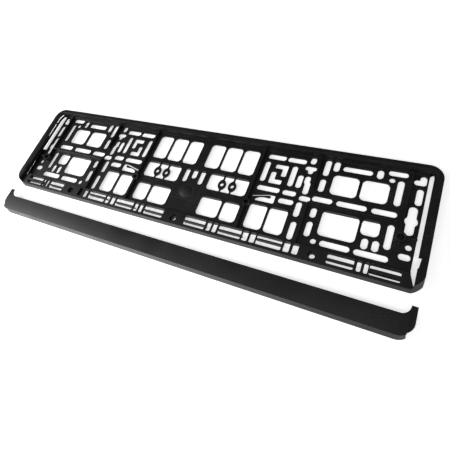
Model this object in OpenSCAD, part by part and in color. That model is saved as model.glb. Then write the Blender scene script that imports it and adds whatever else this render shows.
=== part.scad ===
// Number plate holder: a moulded base frame, and the clip strip that closes its lower edge.
// Millimetres. X runs along the plate, Y up the plate, Z out from the car; the back is Z = 0.
// The origin is the back end of the middle screw hole in the lower edge.
// The strip is drawn taken off, lying below the frame, the way the pair is shown and sold.

/* [Overall] */
// Outer length of the base frame at its back
holder_length = 535; // [505:1:560]
// Outer height of the base frame at its back, without the strip
holder_height = 133.5; // [128:0.5:145]
// Depth from the back to the top of the rim
holder_depth = 14; // [13:0.5:17]
// Outer radius of the two upper corners at the back
corner_radius = 16.5; // [13:0.5:20]
// Outer radius of the two lower corners at the rim top
near_corner = 17; // [13:0.5:20]
// How much those corners flare out down to the back
corner_flare = 3.4; // [1.5:0.1:5]
// Wall thickness of rims and skirts
wall = 1.5; // [1.2:0.1:2]
// How far the outer walls lean in from the back to the rim top
draft = 1.5; // [0.5:0.1:2]

/* [Panel] */
// Height of the panel's underside above the back
panel_rise = 3; // [2.5:0.5:3.5]
// Panel thickness
panel_thickness = 2; // [1.6:0.1:2.4]
// Width of the slit between the panel and each side wall
slit_width = 10; // [8:0.5:11]
// Width of the upright and level lightening slots
slot_width = 6.5; // [5:0.25:7]
// Corner radius of the large windows
window_radius = 5; // [3:0.5:6]
// Diameter of the plain screw holes in the panel
screw_hole = 6; // [5:0.25:6.5]

/* [Rims] */
// Width of the side rims, seen from the front
side_rim = 8.5; // [7:0.25:9]
// Width of the top rim
top_rim = 7; // [6:0.25:8]
// Thickness of the rims' front face
rim_skin = 2; // [1.6:0.1:2.4]
// Depth of the notch that lets the strip's horn in under the side rim
notch_depth = 2.8; // [2:0.1:3.5]
// Length of that notch
notch_length = 10.5; // [9:0.5:12]
// Width of the lower band along the rims' inner edge
rim_band = 2.8; // [2:0.1:3.2]
// How far that band is set down
band_drop = 0.6; // [0.3:0.1:0.8]
// Height of the groove that takes the plate's upper edge
groove_height = 2.4; // [2:0.1:2.8]
// Depth of that groove
groove_depth = 1; // [0.6:0.1:1.2]
// Gap left under the side walls
side_wall_gap = 1.4; // [1:0.1:2]

/* [Ledge] */
// Width of the raised ledge along the lower edge
ledge_width = 16.9; // [15:0.1:18]
// Height of the ledge top above the back
ledge_height = 9; // [8:0.25:9.5]
// Border left between the slots and the lower edge
ledge_border = 4.2; // [3.6:0.1:4.8]
// Strip of ledge left above the slots
ledge_brow = 1; // [0.8:0.1:1.4]
// Height above the back of the foot of the slots' walls
ledge_wall_foot = 2.2; // [1:0.2:3]
// Height of the row of screw holes above the lower edge
ledge_hole_up = 8.8; // [8:0.1:9.5]
// Through diameter of the three counterbored screw holes
ledge_hole = 6.2; // [5:0.1:6.4]
// Diameter of their counterbores
ledge_bore = 8.6; // [8:0.1:9.5]
// Depth of their counterbores
ledge_bore_depth = 4; // [3:0.25:5]

/* [Fins and bosses] */
// Thickness of the fins on the front
fin_thickness = 1.4; // [1.2:0.1:1.8]
// Height of the fin tops above the back, where the plate rests
fin_top = 8.6; // [8:0.1:9]
// Diameter of the bosses beside the middle field
inner_boss = 9; // [8:0.25:10]
// Diameter of the bosses near the ends
outer_boss = 10.5; // [9.5:0.25:11]
// Wall thickness of the bosses
boss_wall = 2; // [1.6:0.1:2.2]

/* [Clip strip] */
// Height of the strip's face
strip_face = 20.2; // [18:0.2:22]
// Depth of the strip, face to the foot of its skirt
strip_depth = 10; // [9:0.25:11]
// Thickness of the strip's face
strip_skin = 2; // [1.6:0.1:2.2]
// How far the skirt's foot stands out beyond the face
skirt_lean = 2.3; // [1:0.1:3]
// Length of the set-down end at each side
strip_end = 5.4; // [4.5:0.1:6]
// How far the ends are set down below the face
end_drop = 1.2; // [0.8:0.1:1.5]
// Height of the horns above the strip's upper edge
horn_height = 9.4; // [7:0.2:11]
// Outer corner radius of the ends
end_corner = 11; // [9:0.5:12]
// Radius inside the horns
horn_fillet = 9; // [6:0.5:10]
// Gap between the frame and the strip lying below it
strip_apart = 22; // [15:0.5:40]
// Clearance of each clip leg in its slot of the ledge
clip_clearance = 0.4; // [0.2:0.05:0.8]

/* [Hidden] */
$fn = 64;
overlap = 0.01;
half_length = holder_length / 2;
// The opening pattern is drawn about a middle line 66.3 above the lower edge of a frame 133.5
// high, for a panel 509 long, and spreads with the panel.
spread_y = holder_height / 133.5;
low_edge = -66.3 * spread_y;
high_edge = low_edge + holder_height;
panel_top = panel_rise + panel_thickness;
rim_half = half_length - draft;
slit_out = rim_half - wall;
slit_in = slit_out - slit_width;
spread_x = slit_in / 254.5;
lip_in = rim_half - side_rim;
rim_in = high_edge - draft - top_rim;
inner_wall = groove_depth + 0.8;
ledge_top = low_edge + ledge_width;
slot_high = ledge_top - ledge_brow;
slot_low = low_edge + ledge_border;
hole_row = low_edge + ledge_hole_up;
notch_top = -35.2 * spread_y;

// Openings right of the middle; the left half mirrors them.
// Upright slots: [middle x, lower y, upper y]
upright_slots = [
  [11, -6.5, 13],
  [136.25, 49, 58.3], [85.5, 15.5, 43.4], [118.6, 15.5, 43.2], [128, 15.5, 33],
  [136.25, 22, 33.1], [137.75, 9.3, 26], [136, -19.5, -0.8], [137, -46.5, -25],
  [208.5, 45, 56.6], [162.9, 44.7, 58.2], [153.2, 37, 58.3], [230.2, 17, 47.6],
  [153.2, 16.3, 33], [153.3, -16, -4], [153.3, -38.3, -20.5], [230.3, -31.8, -4.2],
  [210, -37, -24.8], [220.2, -37, -24.8],
  [248.9, 22, 41.7], [249.7, 45.6, 57.1],
];
// Level slots: [left x, right x, middle y]
level_slots = [
  [83, 105, 50.5], [107, 129, 50.5], [82.8, 110, 7.2], [113.5, 129, 7.2],
  [133.3, 145.8, 4.2], [112, 129.3, -3.9],
  [216, 235.3, 54.9], [170, 201, 50.4], [147.3, 169, 7], [173.2, 204, 7], [208.5, 233, 7],
  [168.4, 198.2, -41.5], [202, 234, -41.5], [241.3, 253, 48.7], [241.4, 252.4, -34.8],
];
// Large windows: [left x, right x, lower y, upper y]
windows = [
  [6, 26, 19, 54], [28.5, 49.5, 19, 54], [52, 72.2, 19, 54],
  [21.5, 49.5, -44.4, -19.6], [52, 72.2, -44.6, -19.8],
  [83, 104, -45.3, -14], [106.6, 127.8, -45.3, -14],
  [162.6, 190.3, 16, 41.3], [193.6, 220.7, 16, 41.3],
  [162.8, 200.5, -33.6, -4.3], [203.2, 220.7, -22, -4.3],
];
// Bent slots: two arms each, as [left x, right x, lower y, upper y]
bent_slots = [
  [95.5, 111, 35.5, 41.8], [104.8, 111, 26, 41.8],
  [93, 99.4, 15, 31], [93, 108.5, 15, 21.6],
];
// Plain screw holes: [x, y]
screw_holes = [[221, 46], [161.8, -41.7], [248.8, -24.5]];
// Window with the two eyelets: [left x, right x, lower y, upper y]
eyelet_window = [21, 72.4, -9.8, 13];
eyelets = [40, 53.5];
// Ledge: long slots as [left x, right x, bar's top below the slot's upper edge, bar's width]
long_slots = [
  [15, 42.6, 6, 1.3], [59.8, 87.2, 6, 1.3], [105.2, 133.2, 4.6, 1.3],
  [180, 205.6, 6, 1.3], [220, 247.6, 5, 3.2],
];
// Ledge: narrow slots for the strip's clip legs as [left x, right x]
clip_slots = [
  [45, 50.2], [52.2, 57.7], [88.8, 95.3], [97.5, 103.8],
  [135.5, 142], [144.8, 151], [208.4, 212.4], [215, 218.8],
];
counterbores = [0, 165.2];
// Fins across the front: [x, lower y, upper y]; -1 and 1 stand for the ledge and the top rim
inner_fin = 77.8;
middle_fin = 145.1;
outer_fin = 239;
middle_fin_gap = [0.2, 18.6];
cross_fin_y = -0.4;
inner_boss_y = -16.2;
outer_boss_y = -17;
// Stiffening ribs on the back, above the openings: [left x, right x, y]
back_ribs = [
  [0, 14.5, 13], [21, 72.4, 13], [21.5, 72.2, -19.6], [83, 127.8, -14], [162.8, 220.7, -4.3],
];

function fx(x) = x * spread_x;
function fy(y) = y * spread_y;

// A rectangle with round corners, from its four sides.
module rounded(x0, x1, y0, y1, r) {
  q = min(r, (x1 - x0) / 2 - overlap, (y1 - y0) / 2 - overlap);
  translate([x0 + q, y0]) square([x1 - x0 - 2 * q, y1 - y0]);
  translate([x0, y0 + q]) square([x1 - x0, y1 - y0 - 2 * q]);
  for (x = [x0 + q, x1 - q], y = [y0 + q, y1 - q]) translate([x, y]) circle(r = q);
}

module mirrored() {
  children();
  mirror([1, 0, 0]) children();
}

// Puts a piece drawn about the frame's middle into the part's own axes.
module placed() {
  translate([0, -hole_row, 0]) children();
}

module outline(inset = 0) {
  rounded(-half_length + inset, half_length - inset, low_edge + inset, high_edge - inset,
          corner_radius - inset);
}

// The rims' outline at their top, with wider corners below.
module rim_outline() {
  rounded(-rim_half, rim_half, low_edge + draft, high_edge - draft, near_corner + 0.6);
  translate([0, high_edge - draft - 40]) intersection() {
    rounded(-rim_half, rim_half, 0, 40, corner_radius - draft);
    translate([-rim_half, 20]) square([2 * rim_half, 20]);
  }
}

module slit() {
  end = slit_width / 2;
  difference() {
    rounded(slit_in, slit_out, low_edge + 4.3, high_edge - 6.4, end - 0.05);
    polygon([[slit_in - 1, low_edge], [slit_in - 1, ledge_top], [slit_in, low_edge + 15],
             [slit_in + 4, low_edge + 4.3], [slit_in + 4, low_edge]]);
  }
}

// Leaning outer wall all round: straight runs, a turned corner at each upper end and a flared
// one at each lower end.
module leaning_wall() {
  r = corner_radius;
  section = [[0, 0], [-draft, holder_depth], [-draft - wall, holder_depth], [-wall, 0]];
  flipped = [for (p = section) [-p[0], p[1]]];
  long_run = holder_length - 2 * r;
  mirrored() {
    translate([half_length - r, high_edge - r, 0]) rotate_extrude(angle = 90)
      translate([r, 0]) polygon(section);
  }
  translate([-long_run / 2, high_edge, 0]) rotate([90, 0, 90]) linear_extrude(long_run) polygon(section);
  difference() {
    union() {
      mirrored() translate([half_length, high_edge - r, 0]) rotate([90, 0, 0])
        linear_extrude(holder_height - r - 1) polygon(section);
      translate([1 - half_length, low_edge, 0]) rotate([90, 0, 90])
        linear_extrude(holder_length - 2) polygon(flipped);
      mirrored() near_corner_shell();
    }
    mirrored() near_corner_waste();
  }
}

// The lower corners are cones about the middle of the rim's corner, cut by the straight walls.
corner_x = rim_half - near_corner;
corner_y = low_edge + draft + near_corner;
cone_foot = near_corner + 0.3 + corner_flare;
cone_top = near_corner + 0.3;

module near_corner_shell() {
  reach = near_corner + draft - wall / 2;
  side = [[-40, -1], [reach + 0.1, -1], [reach - draft - 0.1, holder_depth + 1], [-40, holder_depth + 1]];
  translate([corner_x, corner_y, 0]) intersection() {
    rotate([0, 0, -90]) rotate_extrude(angle = 90) polygon([[cone_foot + 1, 0],
      [cone_top + 1, holder_depth], [cone_top - wall, holder_depth], [cone_foot - wall, 0]]);
    translate([0, 20, 0]) rotate([90, 0, 0]) linear_extrude(60) polygon(side);
    rotate([0, 0, -90]) translate([0, 40, 0]) rotate([90, 0, 0]) linear_extrude(60) polygon(side);
  }
}

module near_corner_waste() {
  slope = corner_flare / holder_depth;
  translate([corner_x, corner_y, -1]) difference() {
    translate([0, -40, 0]) cube([40, 40, holder_depth + 2]);
    translate([0, 0, -1]) cylinder(r1 = cone_foot + 2 * slope, r2 = cone_top - 2 * slope, h = holder_depth + 4);
  }
}

// Everything cut through the panel, right half.
module panel_openings() {
  w = slot_width / 2;
  for (s = upright_slots) rounded(fx(s[0]) - w, fx(s[0]) + w, fy(s[1]), fy(s[2]), w);
  for (s = level_slots) rounded(fx(s[0]), fx(s[1]), fy(s[2]) - w - 0.2, fy(s[2]) + w + 0.2, w);
  for (s = windows) rounded(fx(s[0]), fx(s[1]), fy(s[2]), fy(s[3]), window_radius);
  for (s = bent_slots) rounded(fx(s[0]), fx(s[1]), fy(s[2]), fy(s[3]), 2);
  for (p = screw_holes) translate([fx(p[0]), fy(p[1])]) circle(d = screw_hole);
  // T-shaped keyhole high beside the middle fin
  rounded(fx(129.6), fx(142.5), fy(40), fy(46.2), 3);
  rounded(fx(133.5), fx(139.5), fy(35.7), fy(43), 3);
  // Double keyhole near the end
  rounded(fx(242), fx(250.4), fy(-12), fy(20.4), 4);
  translate([fx(246.3), fy(3.6)]) circle(r = 6.1);
  blade_opening();
}

// Opening that tapers to the left, crossed by a slanting tongue.
module blade_opening() {
  difference() {
    polygon([[fx(86.6), fy(-10.3)], [fx(106.8), fy(-10.3)], [fx(108), fy(-9.3)], [fx(108), fy(-1)],
             [fx(106.8), fy(0.4)], [fx(100), fy(0.4)], [fx(81.2), fy(-4.2)], [fx(81.6), fy(-5.7)],
             [fx(85.8), fy(-6.6)], [fx(85.8), fy(-9.6)]]);
    polygon([[fx(80), fy(-9)], [fx(80), fy(-6.2)], [fx(101), fy(-1.2)], [fx(102.4), fy(-1.6)],
             [fx(102.8), fy(-2.6)], [fx(102), fy(-3.9)], [fx(101), fy(-4.1)], [fx(95), fy(-3.9)],
             [fx(90), fy(-4.9)], [fx(85.8), fy(-7.4)]]);
  }
}

module eyelet_opening() {
  w = eyelet_window;
  difference() {
    rounded(fx(w[0]), fx(w[1]), fy(w[2]), fy(w[3]), window_radius);
    for (x = eyelets) {
      translate([fx(x) - 0.9, fy(w[2]) - 1]) square([1.8, fy(w[3]) - fy(w[2]) + 2]);
      translate([fx(x), fy(0)]) intersection() {
        translate([-3.1, 0]) circle(r = 8.1);
        translate([3.1, 0]) circle(r = 8.1);
      }
    }
  }
  for (x = eyelets) translate([fx(x), fy(0)]) circle(d = 4.6);
}

module panel() {
  translate([0, 0, panel_rise]) linear_extrude(panel_thickness) difference() {
    outline(wall * 0.8);
    mirrored() {
      panel_openings();
      eyelet_opening();
      slit();
    }
    rounded(-slot_width / 2 - 0.2, slot_width / 2 + 0.2, fy(0), fy(13), slot_width / 2);
    // Open behind the top rim and behind the ledge
    translate([-half_length + corner_radius, rim_in + inner_wall])
      square([holder_length - 2 * corner_radius, high_edge - wall - 0.5 - rim_in - inner_wall]);
    translate([-slit_in + 6, low_edge + wall + 0.5]) square([2 * slit_in - 12, slot_high - low_edge - wall - 0.5]);
  }
}

// Front face of the rims. Its inner edge steps in round a notch for each horn.
module rim_face(inset) {
  difference() {
    rim_outline();
    rounded(-lip_in - inset, lip_in + inset, low_edge - 40, rim_in + inset * 0.7, 8);
    mirrored() polygon([
      [lip_in - 1, notch_top], [lip_in + notch_depth, notch_top],
      [lip_in + notch_depth - 1, notch_top - notch_length + 1], [lip_in + 1, notch_top - notch_length],
      [lip_in + 1, low_edge - 1], [lip_in - 1, low_edge - 1],
    ]);
  }
}

module rims() {
  translate([0, 0, holder_depth - rim_skin]) {
    linear_extrude(rim_skin - band_drop) rim_face(0);
    linear_extrude(rim_skin) rim_face(rim_band);
  }
  difference() {
    leaning_wall();
    // The lower edge is only as high as the ledge
    translate([-lip_in - 1, low_edge - 1, ledge_height]) cube([2 * lip_in + 2, 30, holder_depth]);
    mirrored() side_windows();
  }
  // Inner wall of the top rim, grooved for the plate's upper edge
  groove_low = holder_depth - 7;
  difference() {
    translate([-slit_in, rim_in, panel_rise]) cube([2 * slit_in, inner_wall, holder_depth - panel_rise - 1]);
    translate([-slit_in - 1, rim_in - 1, groove_low]) cube([2 * slit_in + 2, groove_depth + 1, groove_height]);
  }
  translate([-slit_in, rim_in - 0.6, panel_rise]) cube([2 * slit_in, 1, groove_low - panel_rise]);
}

// Long low windows through each side wall, and the gap under it.
module side_windows() {
  x = rim_half - wall - 3;
  low = side_wall_gap + 1.3;
  high = low + 4;
  translate([x, fy(-2.5), -1]) cube([10, fy(61) - fy(-2.5), side_wall_gap + 1]);
  translate([x, fy(45), low]) cube([10, fy(61) - fy(45), high - low]);
  translate([x, 0, 0]) rotate([90, 0, 90]) linear_extrude(10)
    polygon([[fy(-3), low], [fy(43), low], [fy(43), high], [fy(28), high], [fy(-3), low + 0.8]]);
  translate([x, fy(-49), -1]) cube([10, fy(-24) - fy(-49), side_wall_gap + 1.6]);
}

// Shelf at the foot of each side wall, under which the strip's horn is held.
module horn_shelf(notched) {
  inner = lip_in + 2.7;
  outer = half_length - wall + 0.5;
  low = low_edge + 10;
  difference() {
    translate([inner, low, 0.2]) cube([outer - inner, fy(-2.5) - low, 1.1]);
    // Gap under the right notch, which the photograph doesn't show at the left
    if (notched) translate([inner - 1, notch_top - notch_length, 0]) cube([3.5, notch_length + 6, 3]);
  }
}

module ledge() {
  foot = ledge_wall_foot;
  difference() {
    union() {
      translate([0, 0, ledge_height - panel_thickness]) linear_extrude(panel_thickness) intersection() {
        outline(wall);
        difference() {
          translate([-half_length, low_edge]) square([holder_length, ledge_width]);
          mirrored() slit();
        }
      }
      // Upper wall of the ledge, down past the panel
      translate([-slit_in, slot_high - 0.4, foot]) cube([2 * slit_in, ledge_brow + 0.4, ledge_height - foot]);
      mirrored() for (x = counterbores) translate([fx(x), hole_row, 0])
        cylinder(d = ledge_bore + 3, h = ledge_height);
    }
    mirrored() {
      translate([0, 0, -1]) linear_extrude(holder_depth) {
        for (s = long_slots) rounded(fx(s[0]), fx(s[1]), slot_low, slot_high, 1.6);
        for (s = clip_slots) rounded(fx(s[0]), fx(s[1]), slot_low, slot_high, 1.6);
        for (x = counterbores) translate([fx(x), hole_row]) circle(d = ledge_hole);
      }
      for (x = counterbores) translate([fx(x), hole_row, ledge_height - ledge_bore_depth])
        cylinder(d = ledge_bore, h = holder_depth);
    }
  }
  // Bars that divide the long slots
  mirrored() for (s = long_slots) translate([fx(s[0]) - 1, slot_high - s[2] - s[3], foot])
    cube([fx(s[1]) - fx(s[0]) + 2, s[3], ledge_height - foot]);
  // One narrow slot of the left half stays blind
  blind = clip_slots[5];
  translate([-fx(blind[1]) - 1, slot_low - 1, ledge_height - 4])
    cube([fx(blind[1]) - fx(blind[0]) + 2, slot_high - slot_low + 2, 1.2]);
}

module fins() {
  t = fin_thickness;
  base = panel_top - overlap;
  rise = fin_top - base;
  low = ledge_top - wall / 2;
  high = rim_in + 0.5;
  gap = middle_fin_gap;
  mirrored() {
    translate([fx(inner_fin) - t / 2, low, base]) cube([t, high - low, rise]);
    translate([fx(middle_fin) - t / 2, low, base]) cube([t, fy(gap[0]) - low, rise]);
    translate([fx(middle_fin) - t / 2, fy(gap[1]), base]) cube([t, high - fy(gap[1]), rise]);
    translate([fx(outer_fin) - t / 2, fy(outer_boss_y), base]) cube([t, high - fy(outer_boss_y), rise]);
    translate([fx(middle_fin), fy(cross_fin_y) - t / 2, base])
      cube([fx(outer_fin) - fx(middle_fin), t, rise]);
    translate([fx(outer_fin), fy(outer_boss_y) + 1 - t / 2, base]) cube([slit_in - fx(outer_fin), t, rise]);
  }
}

module bosses() {
  mirrored() {
    translate([fx(inner_fin) + 0.6, fy(inner_boss_y), panel_rise])
      cylinder(d = inner_boss, h = ledge_height - panel_rise);
    translate([fx(outer_fin) + 1, fy(outer_boss_y), panel_rise])
      cylinder(d = outer_boss, h = ledge_height + 1 - panel_rise);
  }
}

module boss_holes() {
  mirrored() {
    translate([fx(inner_fin) + 0.6, fy(inner_boss_y), panel_rise + 1])
      cylinder(d = inner_boss - 2 * boss_wall, h = holder_depth);
    translate([fx(outer_fin) + 1, fy(outer_boss_y), panel_rise + 1])
      cylinder(d = outer_boss - 2 * boss_wall, h = holder_depth);
  }
}

// Plain domed boss in the middle field, and the shallow badge field below it.
module dome() {
  reach = 8.5;
  rise = 2.6;
  ball = (reach * reach + rise * rise) / (2 * rise);
  translate([-1.5, fy(-19.2), 0]) intersection() {
    translate([0, 0, panel_top + rise - ball]) sphere(r = ball);
    translate([0, 0, panel_rise]) cylinder(r = reach, h = holder_depth);
  }
}

module base_frame() color([0.08, 0.08, 0.085]) placed() {
  difference() {
    union() {
      difference() {
        panel();
        translate([-19, fy(-46), panel_top - 0.4]) cube([38, 16, 1]);
        mirrored() for (x = [34, 48]) translate([fx(x), fy(-14.6), panel_top - 0.4])
          cylinder(d = 5, h = 1);
      }
      rims();
      horn_shelf(true);
      mirror([1, 0, 0]) horn_shelf(false);
      fins();
      bosses();
      dome();
      mirrored() for (s = back_ribs) translate([fx(s[0]) - overlap, fy(s[2]), 0])
        cube([fx(s[1]) - fx(s[0]), wall, panel_rise + overlap]);
      ledge();
    }
    boss_holes();
  }
}

strip_far = low_edge - strip_apart;
strip_near = strip_far - strip_face;
strip_edge = rim_half - strip_end;
corner_run = 8;

// Set-down ends with their horns, right half.
module strip_ends() {
  base = strip_near + 3.2;
  difference() {
    union() {
      translate([strip_edge - 8, base]) square([strip_end + 8, strip_far - base]);
      translate([strip_edge - horn_fillet, strip_far - overlap]) square([horn_fillet + strip_end, horn_height]);
    }
    translate([strip_edge - horn_fillet, strip_far + horn_fillet]) circle(r = horn_fillet);
    translate([strip_edge - horn_fillet - 1, strip_far + horn_fillet])
      square([horn_fillet + 1, 2 * horn_fillet]);
    translate([rim_half - end_corner, base]) difference() {
      square([end_corner + 1, end_corner]);
      translate([0, end_corner]) circle(r = end_corner);
    }
  }
}

// Skirt under the strip's near edge; it follows the corners at both ends.
module strip_skirt() {
  top = strip_depth - 0.5;
  run = strip_edge - corner_run;
  section = [[skirt_lean, 0], [-0.2, top], [-wall, top], [skirt_lean - wall, 0]];
  flipped = [for (p = section) [-p[0], p[1]]];
  translate([-run, strip_near, 0]) rotate([90, 0, 90]) linear_extrude(2 * run) polygon(flipped);
  mirrored() translate([run, strip_near + end_corner, 0])
    rotate([0, 0, -90]) rotate_extrude(angle = asin(corner_run / end_corner) - 3)
      translate([end_corner, 0]) polygon(section);
}

// The strip's raised face, its near corners cut to the skirt's curve
module strip_top() {
  difference() {
    translate([-strip_edge, strip_near]) square([2 * strip_edge, strip_face]);
    mirrored() translate([strip_edge - corner_run, strip_near - 1]) difference() {
      square([corner_run + 1, 6]);
      translate([0, end_corner + 1]) circle(r = end_corner);
    }
  }
}

module clip_strip() color([0.09, 0.09, 0.095]) placed() {
  translate([0, 0, strip_depth - strip_skin]) linear_extrude(strip_skin) strip_top();
  translate([0, 0, strip_depth - strip_skin - 0.4]) linear_extrude(strip_skin + 0.4 - end_drop)
    mirrored() strip_ends();
  strip_skirt();
  // Clip legs, in pairs that drop through the narrow slots of the ledge
  mirrored() for (s = clip_slots) {
    x0 = fx(s[0]) + clip_clearance;
    x1 = fx(s[1]) - clip_clearance;
    translate([x0, strip_far - 8, 0]) cube([x1 - x0, 1.6, strip_depth - 1]);
    translate([x0, strip_far - 8, 0]) cube([x1 - x0, 2.6, 1.4]);
  }
}

base_frame();
clip_strip();
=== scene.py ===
# %% [markdown]
# # A number plate holder in black satin plastic
# The holder is two mouldings: a pierced frame that is screwed to a bumper, and a strip that clips
# over its lower edge once the plate is in. The frame file brings both in at full size, so this
# lesson is about everything that shape alone can't give: a plastic that looks moulded, the light of
# a small studio, and the camera of the photograph.

import math

import bpy
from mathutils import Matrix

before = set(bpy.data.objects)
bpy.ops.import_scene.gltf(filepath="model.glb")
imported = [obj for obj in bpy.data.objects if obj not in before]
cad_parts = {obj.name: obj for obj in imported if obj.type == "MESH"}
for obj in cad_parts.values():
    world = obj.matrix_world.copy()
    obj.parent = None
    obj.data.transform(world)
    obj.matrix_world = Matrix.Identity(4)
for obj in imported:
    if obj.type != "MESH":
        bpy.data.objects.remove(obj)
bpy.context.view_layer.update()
print("mouldings:", sorted(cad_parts))

# %% [markdown]
# ## A short hand for node trees
# A material is a small machine of nodes. By hand, each one is added, set up and given its numbers
# in lines of their own, so one helper does all three. The node that turns one range of numbers into
# another with a smooth ramp comes up so often that it gets a helper too, and a third one starts a
# node group with its sockets.

# %% Helpers for nodes
def add_node(tree, kind, values=None, **settings):
    node = tree.nodes.new(kind)
    for name, value in settings.items():
        setattr(node, name, value)
    for socket, value in (values or {}).items():
        node.inputs[socket].default_value = value
    return node


def soft_step(tree, start, end, before, after):
    ranges = {"From Min": start, "From Max": end, "To Min": before, "To Max": after}
    return add_node(tree, "ShaderNodeMapRange", ranges, interpolation_type="SMOOTHSTEP")


def new_group(name, inputs, outputs):
    group = bpy.data.node_groups.new(name, "ShaderNodeTree")
    for label, value in inputs.items():
        socket = group.interface.new_socket(label, in_out="INPUT", socket_type="NodeSocketFloat")
        socket.default_value = value
    for label, kind in outputs.items():
        group.interface.new_socket(label, in_out="OUTPUT", socket_type=kind)
    return group, add_node(group, "NodeGroupInput"), add_node(group, "NodeGroupOutput")


print("helpers:", add_node.__name__, soft_step.__name__, new_group.__name__)

# %% [markdown]
# ## Mould grain
# A plastic part copies the skin of its steel mould. Here that skin was lightly spark eroded: grains
# of a few tenths of a millimetre, too fine to see one by one, that turn a mirror into a satin.
# Larger and much weaker waves come from the plastic shrinking as it cools, and they make long
# reflections drift. Both could be carved into the mesh, but that would take millions of faces. As
# noises on Object coordinates they are the same size on every face, and the group adds them up to
# one height. A third noise, wider still, says where the skin is a little duller or paler.

# %% Group: grain of the mould and the waves of shrinkage
WAVES_PER_METRE = 55.0
PATCHES_PER_METRE = 24.0


def build_mould_skin():
    group, inside, outside = new_group(
        "mould_skin",
        {"Grain Size": 0.0004, "Grain": 1.0, "Waves": 1.0},
        {"Height": "NodeSocketFloat", "Patches": "NodeSocketFloat"},
    )
    place = add_node(group, "ShaderNodeTexCoord")
    per_metre = add_node(group, "ShaderNodeMath", {0: 1.0}, operation="DIVIDE")
    grain = add_node(group, "ShaderNodeTexNoise", {"Detail": 3.0, "Roughness": 0.6})
    wave = add_node(group, "ShaderNodeTexNoise", {"Scale": WAVES_PER_METRE, "Detail": 1.0})
    patch = add_node(group, "ShaderNodeTexNoise", {"Scale": PATCHES_PER_METRE, "Detail": 4.0})
    grain_part = add_node(group, "ShaderNodeMath", operation="MULTIPLY")
    wave_part = add_node(group, "ShaderNodeMath", operation="MULTIPLY")
    height = add_node(group, "ShaderNodeMath", operation="ADD")
    link = group.links.new
    link(inside.outputs["Grain Size"], per_metre.inputs[1])
    link(per_metre.outputs[0], grain.inputs["Scale"])
    for noise in (grain, wave, patch):
        link(place.outputs["Object"], noise.inputs["Vector"])
    link(grain.outputs["Fac"], grain_part.inputs[0])
    link(inside.outputs["Grain"], grain_part.inputs[1])
    link(wave.outputs["Fac"], wave_part.inputs[0])
    link(inside.outputs["Waves"], wave_part.inputs[1])
    link(grain_part.outputs[0], height.inputs[0])
    link(wave_part.outputs[0], height.inputs[1])
    link(height.outputs[0], outside.inputs["Height"])
    link(patch.outputs["Fac"], outside.inputs["Patches"])
    return group


mould_skin = build_mould_skin()
print("group:", mould_skin.name)

# %% [markdown]
# ## Handled edges
# No moulding has a truly sharp edge: the mould's corners leave a round of two to four tenths of a
# millimetre, and boxes and hands rub it paler. A bevel in the mesh would need clean faces all
# round, so the round is made by the Bevel node, which bends the normal close to an edge. The
# difference between the bent normal and the plain one also tells where the edges are, and that
# becomes the wear mask.

# %% Group: rounded and rubbed edges
BEVEL_SAMPLES = 6


def build_soft_edges():
    group, inside, outside = new_group(
        "soft_edges",
        {"Radius": 0.0003, "Spread": 1.0},
        {"Normal": "NodeSocketVector", "Wear": "NodeSocketFloat"},
    )
    bevel = add_node(group, "ShaderNodeBevel", samples=BEVEL_SAMPLES)
    shape = add_node(group, "ShaderNodeNewGeometry")
    likeness = add_node(group, "ShaderNodeVectorMath", operation="DOT_PRODUCT")
    bent = add_node(group, "ShaderNodeMath", {0: 1.0}, operation="SUBTRACT")
    wider = add_node(group, "ShaderNodeMath", operation="MULTIPLY", use_clamp=True)
    link = group.links.new
    link(inside.outputs["Radius"], bevel.inputs["Radius"])
    link(bevel.outputs["Normal"], likeness.inputs[0])
    link(shape.outputs["Normal"], likeness.inputs[1])
    link(likeness.outputs["Value"], bent.inputs[1])
    link(bent.outputs[0], wider.inputs[0])
    link(inside.outputs["Spread"], wider.inputs[1])
    link(bevel.outputs["Normal"], outside.inputs["Normal"])
    link(wider.outputs[0], outside.inputs["Wear"])
    return group


soft_edges = build_soft_edges()
print("group:", soft_edges.name)

# %% [markdown]
# ## Dust
# A part from a shelf carries a little dust. Its fine grains lie in loose drifts. They could be
# scattered as tiny meshes, but at this distance a mask does as well: a small noise, cut off high so
# that only its peaks are left, is multiplied by a wide noise that says where the drifts are. The
# group gives that mask, and each plastic decides how much of it shows.

# %% Group: fine dust in loose drifts
DRIFTS_PER_METRE = 38.0
GRAINS_SHOW = (0.5, 0.8)
DRIFTS_SHOW = (0.4, 0.75)


def build_dust():
    group, inside, outside = new_group(
        "dust", {"Grain Size": 0.0011, "Amount": 1.0}, {"Mask": "NodeSocketFloat"}
    )
    place = add_node(group, "ShaderNodeTexCoord")
    per_metre = add_node(group, "ShaderNodeMath", {0: 1.0}, operation="DIVIDE")
    grains = add_node(group, "ShaderNodeTexNoise", {"Detail": 1.0})
    drifts = add_node(group, "ShaderNodeTexNoise", {"Scale": DRIFTS_PER_METRE, "Detail": 3.0})
    peaks = soft_step(group, *GRAINS_SHOW, 0.0, 1.0)
    where = soft_step(group, *DRIFTS_SHOW, 0.0, 1.0)
    there = add_node(group, "ShaderNodeMath", operation="MULTIPLY")
    dosed = add_node(group, "ShaderNodeMath", operation="MULTIPLY", use_clamp=True)
    link = group.links.new
    link(inside.outputs["Grain Size"], per_metre.inputs[1])
    link(per_metre.outputs[0], grains.inputs["Scale"])
    link(place.outputs["Object"], grains.inputs["Vector"])
    link(place.outputs["Object"], drifts.inputs["Vector"])
    link(grains.outputs["Fac"], peaks.inputs["Value"])
    link(drifts.outputs["Fac"], where.inputs["Value"])
    link(peaks.outputs["Result"], there.inputs[0])
    link(where.outputs["Result"], there.inputs[1])
    link(there.outputs[0], dosed.inputs[0])
    link(inside.outputs["Amount"], dosed.inputs[1])
    link(dosed.outputs[0], outside.inputs["Mask"])
    return group


dust = build_dust()
print("group:", dust.name)

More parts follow.
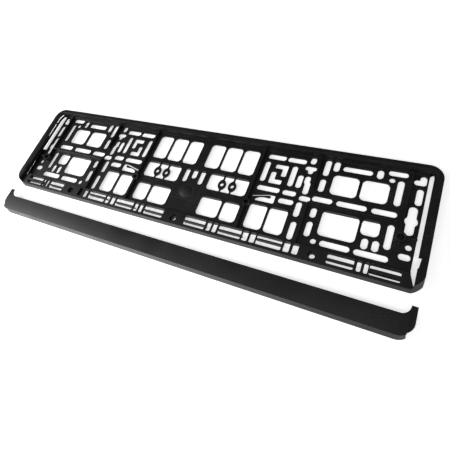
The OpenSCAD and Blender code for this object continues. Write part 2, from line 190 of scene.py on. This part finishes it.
# %% [markdown]
# ## Colour of the black plastic
# The holder is black polypropylene. Its colour is not quite zero: the carbon black in it still
# sends back a little under one part in a hundred. One plain colour would look like paint, so it
# drifts by nearly a fifth with the patches of the skin, turns paler on rubbed edges, and carries
# the dust on top.

# %% Colour: black in patches, paler where it is rubbed or dusty
PATCHES_SHOW = (0.3, 0.7)
PATCH_SHADES = (0.82, 1.18)
RUBBED_SHADE = 2.6
DUST_COLOUR = (0.09, 0.088, 0.084, 1)


def shaded(colour, factor):
    return (*[part * factor for part in colour], 1)


def plastic_colour(tree, skin, edges, colour, dusty):
    patchy = add_node(tree, "ShaderNodeValToRGB")
    for stop, position, factor in zip(patchy.color_ramp.elements, PATCHES_SHOW, PATCH_SHADES):
        stop.position = position
        stop.color = shaded(colour, factor)
    rubbed = add_node(tree, "ShaderNodeMix", {"B": shaded(colour, RUBBED_SHADE)}, data_type="RGBA")
    drift = add_node(tree, "ShaderNodeGroup", {"Amount": dusty}, node_tree=dust)
    powdered = add_node(tree, "ShaderNodeMix", {"B": DUST_COLOUR}, data_type="RGBA")
    link = tree.links.new
    link(skin.outputs["Patches"], patchy.inputs["Fac"])
    link(patchy.outputs["Color"], rubbed.inputs["A"])
    link(edges.outputs["Wear"], rubbed.inputs["Factor"])
    link(rubbed.outputs["Result"], powdered.inputs["A"])
    link(drift.outputs["Mask"], powdered.inputs["Factor"])
    return powdered.outputs["Result"]


print("dust colour:", DUST_COLOUR)

# %% [markdown]
# ## Gloss of the black plastic
# What the eye reads as plastic is the clear reflection above the black, broad because of the grain.
# Its roughness drifts with the same patches as the colour. The small round dome in the middle of
# the frame is duller than the panel around it, as if its mould had a coarser skin. It is part of
# the same moulding, so it gets no material of its own: the roughness simply rises within a short
# distance of the dome's centre.

# %% Gloss: smooth and rough patches, and a duller dome
DULL_RIM = 1.25


def plastic_gloss(tree, skin, smooth, rough):
    low, high = PATCHES_SHOW
    ranges = {"From Min": low, "From Max": high, "To Min": smooth, "To Max": rough}
    gloss = add_node(tree, "ShaderNodeMapRange", ranges)
    tree.links.new(skin.outputs["Patches"], gloss.inputs["Value"])
    return gloss.outputs["Result"]


def duller_dome(tree, gloss, centre, radius, extra):
    place = add_node(tree, "ShaderNodeTexCoord")
    away = add_node(tree, "ShaderNodeVectorMath", {1: centre}, operation="DISTANCE")
    matt = soft_step(tree, radius, radius * DULL_RIM, extra, 0.0)
    rougher = add_node(tree, "ShaderNodeMath", operation="ADD", use_clamp=True)
    link = tree.links.new
    link(place.outputs["Object"], away.inputs[0])
    link(away.outputs["Value"], matt.inputs["Value"])
    link(gloss, rougher.inputs[0])
    link(matt.outputs["Result"], rougher.inputs[1])
    return rougher.outputs[0]


print("gloss drifts between patches at", PATCHES_SHOW)

# %% [markdown]
# ## Relief of the black plastic
# The strip brightens towards its near edge in the photograph, as a slightly crowned face would. The
# outline can't tell whether it is crowned, so the mesh stays flat and only the normals lean, by
# about five degrees at the edges: a Bump node reads a height that falls with the square of the
# distance from the middle line. The grain and the waves go on top of that, about a fiftieth of a
# millimetre high.

# %% Relief: the strip's slight crown, then the mould grain
GRAIN_HEIGHT = 0.00002
GRAIN_STRENGTH = 0.6


def crowned(tree, normal, middle, bend):
    place = add_node(tree, "ShaderNodeTexCoord")
    parts = add_node(tree, "ShaderNodeSeparateXYZ")
    off = add_node(tree, "ShaderNodeMath", {1: middle}, operation="SUBTRACT")
    square = add_node(tree, "ShaderNodeMath", operation="MULTIPLY")
    fall = add_node(tree, "ShaderNodeMath", {1: -0.5 * bend}, operation="MULTIPLY")
    crown = add_node(tree, "ShaderNodeBump", {"Distance": 1.0, "Strength": 1.0})
    link = tree.links.new
    link(place.outputs["Object"], parts.inputs[0])
    link(parts.outputs["Y"], off.inputs[0])
    link(off.outputs[0], square.inputs[0])
    link(off.outputs[0], square.inputs[1])
    link(square.outputs[0], fall.inputs[0])
    link(fall.outputs[0], crown.inputs["Height"])
    link(normal, crown.inputs["Normal"])
    return crown.outputs["Normal"]


def grained(tree, normal, skin):
    relief = {"Distance": GRAIN_HEIGHT, "Strength": GRAIN_STRENGTH}
    bump = add_node(tree, "ShaderNodeBump", relief)
    tree.links.new(normal, bump.inputs["Normal"])
    tree.links.new(skin.outputs["Height"], bump.inputs["Height"])
    return bump.outputs["Normal"]


print("grain stands", GRAIN_HEIGHT, "m high")

# %% [markdown]
# ## The satin black plastic
# One function puts colour, gloss and relief together, and both mouldings call it with their own
# values, because the strip has a plainer and slightly glossier face than the pierced frame. Two
# materials made by hand would soon drift apart. The dome's dull patch is on the frame alone, and
# the crown on the strip alone, so each is an extra that is only made where it is asked for.

# %% Material: satin black plastic
PLASTIC_IOR = 1.49
WEAR_SPREAD = 2.5


def satin_plastic(name, colour, smooth, rough, gleam, grain, waves, edge_radius, dusty,
                  dome=None, crown=None):
    material = bpy.data.materials.new(name)
    material.use_nodes = True
    tree = material.node_tree
    tree.nodes.clear()
    out = add_node(tree, "ShaderNodeOutputMaterial")
    plastic = add_node(tree, "ShaderNodeBsdfPrincipled",
                       {"IOR": PLASTIC_IOR, "Specular IOR Level": gleam})
    skin = add_node(tree, "ShaderNodeGroup", {"Grain": grain, "Waves": waves},
                    node_tree=mould_skin)
    edges = add_node(tree, "ShaderNodeGroup", {"Radius": edge_radius, "Spread": WEAR_SPREAD},
                     node_tree=soft_edges)
    gloss = plastic_gloss(tree, skin, smooth, rough)
    if dome:
        gloss = duller_dome(tree, gloss, **dome)
    normal = edges.outputs["Normal"]
    if crown:
        normal = crowned(tree, normal, **crown)
    link = tree.links.new
    link(plastic_colour(tree, skin, edges, colour, dusty), plastic.inputs["Base Color"])
    link(gloss, plastic.inputs["Roughness"])
    link(grained(tree, normal, skin), plastic.inputs["Normal"])
    link(plastic.outputs["BSDF"], out.inputs["Surface"])
    return material


frame_plastic = satin_plastic(
    "frame_plastic", colour=(0.006, 0.006, 0.0063), smooth=0.35, rough=0.47, gleam=0.45,
    grain=1.0, waves=2.0, edge_radius=0.0004, dusty=0.6,
    dome={"centre": (-0.0015, 0.0383, 0.006), "radius": 0.009, "extra": 0.22},
)
strip_plastic = satin_plastic(
    "strip_plastic", colour=(0.008, 0.008, 0.0083), smooth=0.32, rough=0.44, gleam=0.5,
    grain=0.7, waves=2.5, edge_radius=0.0002, dusty=0.55,
    crown={"middle": -0.041, "bend": 6.0},
)
print("materials:", frame_plastic.name, strip_plastic.name)

# %% [markdown]
# ## Dressing the mouldings
# The shapes are right as they come from the frame file, so no piece is remodelled or replaced. Each
# moulding keeps its mesh and only changes its material slot.

# %% Put the plastics on the two mouldings
finishes = {"base_frame": frame_plastic, "clip_strip": strip_plastic}
for node_name, material in finishes.items():
    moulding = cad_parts[node_name]
    moulding.data.materials.clear()
    moulding.data.materials.append(material)
    print(node_name, "now wears", material.name)

# %% [markdown]
# ## What the plastic mirrors in the table
# The upright faces of the holder mirror the table, so what they see there matters as much as the
# lamps. Two shapes of light lie on it: a round pool in front of the frame, and an apron in front of
# the strip that fades to the right. They could be lamps, but a lamp would also light the level
# faces. The sum is held at a strength of 1, which is white, and only glossy rays will see it.

# %% Glow: a round pool and an apron in front of the strip
# Painted light: the pool and the apron are glow painted into the table for glossy rays, a painted
# reflection of a lit table. The apron fades out to the right and stops under the strip, so the
# table between the strip and the frame mirrors darker as painted shade.
POOL = {"centre": (-0.06, -0.1, 0), "inner": 0.08, "outer": 0.33, "strength": 0.6}
APRON_EDGE = (-0.058, -0.042)
APRON_FADE = (-0.32, 0.18)


def mirrored_glow(tree):
    place = add_node(tree, "ShaderNodeTexCoord")
    away = add_node(tree, "ShaderNodeVectorMath", {1: POOL["centre"]}, operation="DISTANCE")
    pool = soft_step(tree, POOL["inner"], POOL["outer"], POOL["strength"], 0.0)
    parts = add_node(tree, "ShaderNodeSeparateXYZ")
    apron = soft_step(tree, *APRON_EDGE, 1.0, 0.0)
    along = soft_step(tree, *APRON_FADE, 1.0, 0.0)
    glow = add_node(tree, "ShaderNodeMath", operation="MULTIPLY_ADD", use_clamp=True)
    link = tree.links.new
    link(place.outputs["Object"], away.inputs[0])
    link(away.outputs["Value"], pool.inputs["Value"])
    link(place.outputs["Object"], parts.inputs[0])
    link(parts.outputs["Y"], apron.inputs["Value"])
    link(parts.outputs["X"], along.inputs["Value"])
    link(apron.outputs["Result"], glow.inputs[0])
    link(along.outputs["Result"], glow.inputs[1])
    link(pool.outputs["Result"], glow.inputs[2])
    return glow.outputs[0]


print("apron runs from x =", APRON_FADE[0], "to", APRON_FADE[1])

# %% [markdown]
# ## Table
# The photograph shows a white table that runs out to pure white, with a soft shadow to the right of
# the holder. A table that only glows would have no shadow, and one that is only lit would need so
# much light that the plastic turned grey. So for the camera it is part glow, part lit white: it
# reaches 1 where nothing stands in the light and still darkens beside a wall. Seen from below the
# table is clear, because it would only hide the back of the part.

# %% Material: white table, clear from below
TABLE_COLOUR = (0.86, 0.86, 0.86, 1)
GLOW_FOR_CAMERA = 0.6
GLOW_FOR_GLASS = 0.62


def white_table():
    material = bpy.data.materials.new("white_table")
    material.use_nodes = True
    tree = material.node_tree
    tree.nodes.clear()
    out = add_node(tree, "ShaderNodeOutputMaterial")
    lit = add_node(tree, "ShaderNodeBsdfDiffuse", {"Color": TABLE_COLOUR})
    glow = add_node(tree, "ShaderNodeEmission")
    path = add_node(tree, "ShaderNodeLightPath")
    in_eye = add_node(tree, "ShaderNodeMath", {1: GLOW_FOR_CAMERA}, operation="MULTIPLY")
    in_gloss = add_node(tree, "ShaderNodeMath", operation="MULTIPLY_ADD")
    in_glass = add_node(tree, "ShaderNodeMath", {1: GLOW_FOR_GLASS}, operation="MULTIPLY_ADD")
    both = add_node(tree, "ShaderNodeAddShader")
    side = add_node(tree, "ShaderNodeNewGeometry")
    clear = add_node(tree, "ShaderNodeBsdfTransparent")
    one_way = add_node(tree, "ShaderNodeMixShader")
    link = tree.links.new
    link(path.outputs["Is Camera Ray"], in_eye.inputs[0])
    link(path.outputs["Is Glossy Ray"], in_gloss.inputs[0])
    link(mirrored_glow(tree), in_gloss.inputs[1])
    link(in_eye.outputs[0], in_gloss.inputs[2])
    link(path.outputs["Is Transmission Ray"], in_glass.inputs[0])
    link(in_gloss.outputs[0], in_glass.inputs[2])
    link(in_glass.outputs[0], glow.inputs["Strength"])
    link(lit.outputs["BSDF"], both.inputs[0])
    link(glow.outputs["Emission"], both.inputs[1])
    link(side.outputs["Backfacing"], one_way.inputs["Fac"])
    link(both.outputs["Shader"], one_way.inputs[1])
    link(clear.outputs["BSDF"], one_way.inputs[2])
    link(one_way.outputs["Shader"], out.inputs["Surface"])
    return material


table_white = white_table()
print("material:", table_white.name)

# %% [markdown]
# ## Floor
# The holder lies on z = 0, so the table is one wide plane there. A box would do as well, but its
# sides and bottom would never be seen.

# %% Floor
FLOOR_SIZE = 14

bpy.ops.object.select_all(action="DESELECT")
bpy.ops.mesh.primitive_plane_add(size=FLOOR_SIZE, location=(0, 0, 0))
floor = bpy.context.object
floor.name = "floor"
floor.data.materials.append(table_white)
print("floor at z =", floor.location.z)

# %% [markdown]
# ## Room
# Black plastic is lit by what it mirrors, and most of what a level face mirrors is the room. It
# could be built as walls and a ceiling, but the world does it with fewer pieces: it glows low on
# the right and is dim overhead, and both sides change smoothly with height. The camera itself sees
# it white, as the photograph's background is.

# %% World
WALL_TO_CEILING = (0.02, 0.55)
LEFT_TO_RIGHT = (-0.8, 0.8)


def studio_world(left_low, left_high, right_low, right_high):
    world = bpy.data.worlds.new("studio")
    bpy.context.scene.world = world
    world.use_nodes = True
    tree = world.node_tree
    tree.nodes.clear()
    out = add_node(tree, "ShaderNodeOutputWorld")
    place = add_node(tree, "ShaderNodeTexCoord")
    parts = add_node(tree, "ShaderNodeSeparateXYZ")
    left = soft_step(tree, *WALL_TO_CEILING, left_low, left_high)
    right = soft_step(tree, *WALL_TO_CEILING, right_low, right_high)
    across = soft_step(tree, *LEFT_TO_RIGHT, 0.0, 1.0)
    path = add_node(tree, "ShaderNodeLightPath")
    seen = add_node(tree, "ShaderNodeMix", {"B": 1.0}, data_type="FLOAT")
    sky = add_node(tree, "ShaderNodeBackground", {"Color": (1, 1, 1, 1)})
    link = tree.links.new
    link(place.outputs["Generated"], parts.inputs[0])
    link(parts.outputs["Z"], left.inputs["Value"])
    link(parts.outputs["Z"], right.inputs["Value"])
    link(parts.outputs["X"], across.inputs["Value"])
    link(left.outputs["Result"], across.inputs["To Min"])
    link(right.outputs["Result"], across.inputs["To Max"])
    link(across.outputs["Result"], seen.inputs["A"])
    link(path.outputs["Is Camera Ray"], seen.inputs["Factor"])
    link(seen.outputs["Result"], sky.inputs["Strength"])
    link(sky.outputs[0], out.inputs["Surface"])
    return world


studio = studio_world(left_low=0.0, left_high=0.152, right_low=0.88, right_high=0.064)
print("world:", studio.name)

# %% [markdown]
# ## Lamps
# A soft box stands low on the left: the strip's left end mirrors it and turns grey, most along its
# near edge, while the right half mirrors the dim ceiling and stays black. A wide front lamp lights
# the table at a plain level without showing in any level face. Lamps could be set by eye, but five
# of them hide each other's faults, so the levels were found by rendering each light alone and
# weighing them against the photograph.

# %% Lamps
LAMPS = {  # place, point it looks at, width and height, power in watts
    "window_left": ((-0.85, -0.28, 0.52), (-0.1, 0, 0), (0.4, 0.4), 5.5),
    "window_far": ((-0.9, -0.05, 0.6), (-0.1, 0, 0), (0.5, 0.5), 0.7),
    "high_left": ((-0.57, -0.21, 1.15), (0, 0, 0), (0.3, 0.3), 0.8),
    "overhead": ((0.15, 0.1, 1.3), (0.15, 0.1, 0), (0.5, 0.5), 0.35),
    "front": ((0.1, -1.2, 1.6), (0, 0, 0), (1.6, 1.2), 17),
}


def soft_box(name, place, aim, size, power):
    lamp = bpy.data.lights.new(name, "AREA")
    lamp.shape = "RECTANGLE"
    lamp.size, lamp.size_y = size
    lamp.energy = power
    stand = bpy.data.objects.new(name, lamp)
    bpy.context.collection.objects.link(stand)
    stand.location = place
    way = [a - b for a, b in zip(aim, place)]
    flat = math.hypot(way[0], way[1])
    stand.rotation_euler = (math.atan2(flat, -way[2]), 0, math.atan2(way[1], way[0]) - math.pi / 2)


for lamp_name, setting in LAMPS.items():
    soft_box(lamp_name, *setting)
print("lamps:", list(LAMPS))

# %% [markdown]
# ## Camera
# The photograph was taken with a wide lens, close above the right-hand end. A camera set by eye
# would never bring 176 openings into line, so its place, its turn and its focal length were solved
# together from the corners of the openings in the photograph.

# %% Camera
LENS_MM = 27.685
SENSOR_MM = 36.0
CAMERA_PLACE = (0.20946, -0.11388, 0.34616)
CAMERA_TURN = (25.437, 14.709, 21.812)

lens = bpy.data.cameras.new("camera")
lens.sensor_fit = "HORIZONTAL"
lens.sensor_width = SENSOR_MM
lens.lens = LENS_MM
lens.clip_start = 0.01
camera = bpy.data.objects.new("camera", lens)
bpy.context.collection.objects.link(camera)
camera.location = CAMERA_PLACE
camera.rotation_euler = [math.radians(degrees) for degrees in CAMERA_TURN]
scene = bpy.context.scene
scene.camera = camera
scene.view_settings.view_transform = "Standard"
print("camera stands", round(camera.location.z, 3), "m above the table")
